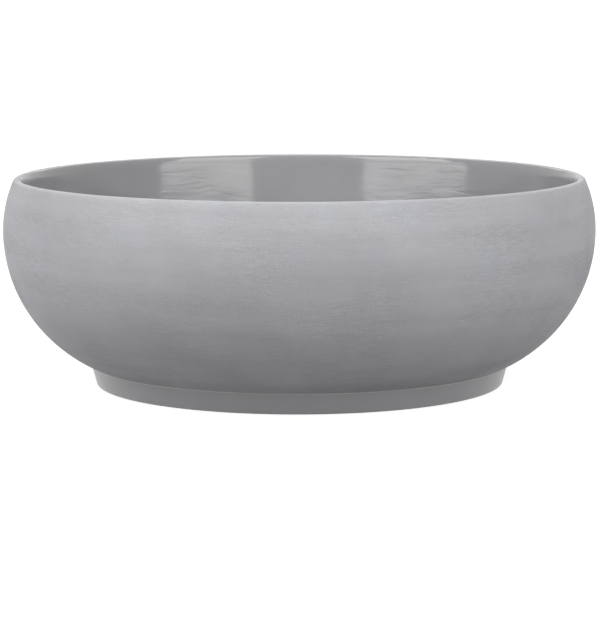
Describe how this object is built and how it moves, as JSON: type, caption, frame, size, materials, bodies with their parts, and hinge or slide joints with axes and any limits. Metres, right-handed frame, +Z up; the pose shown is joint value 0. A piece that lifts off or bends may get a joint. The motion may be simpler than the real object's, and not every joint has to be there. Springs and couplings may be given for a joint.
{
  "type": "bowl planter",
  "caption": "Low round bowl planter with a rolled-in shoulder, a rounded rim and a straight inner wall, on a tapered foot ring; the floor's drain holes close with rubber plugs that lift out.",
  "frame": {"origin": "on the ground under the centre of the bowl, at the centre of the pads' underside", "axes": "+Z up along the bowl's axis; the first drain hole lies on +Y, and the others follow at equal turns"},
  "size_m": [0.5999, 0.6, 0.211],
  "materials": {
    "stone_composite": "light grey fibre-reinforced cast stone, matte outside with faint level marks, smooth gloss gel-coat inside",
    "foot_composite": "the same cast stone, cast against a polished mould, smooth and satin",
    "pad_rubber": "matte",
    "plug_rubber": "matte moulded"
  },
  "bodies": {
    "planter": {"bowl_shell": "stone_composite", "foot_ring": "foot_composite", "foot_pads": "pad_rubber"},
    "plug_1": {"drain_plug_1": "plug_rubber"},
    "plug_2": {"drain_plug_2": "plug_rubber"},
    "plug_3": {"drain_plug_3": "plug_rubber"}
  },
  "joints": [
    {"name": "plug_1_lift", "type": "slide", "parent": "planter", "child": "plug_1", "axis": [0, 0, 1], "range_m": [0, 0.21]},
    {"name": "plug_2_lift", "type": "slide", "parent": "planter", "child": "plug_2", "axis": [0, 0, 1], "range_m": [0, 0.21]},
    {"name": "plug_3_lift", "type": "slide", "parent": "planter", "child": "plug_3", "axis": [0, 0, 1], "range_m": [0, 0.21]}
  ]
}
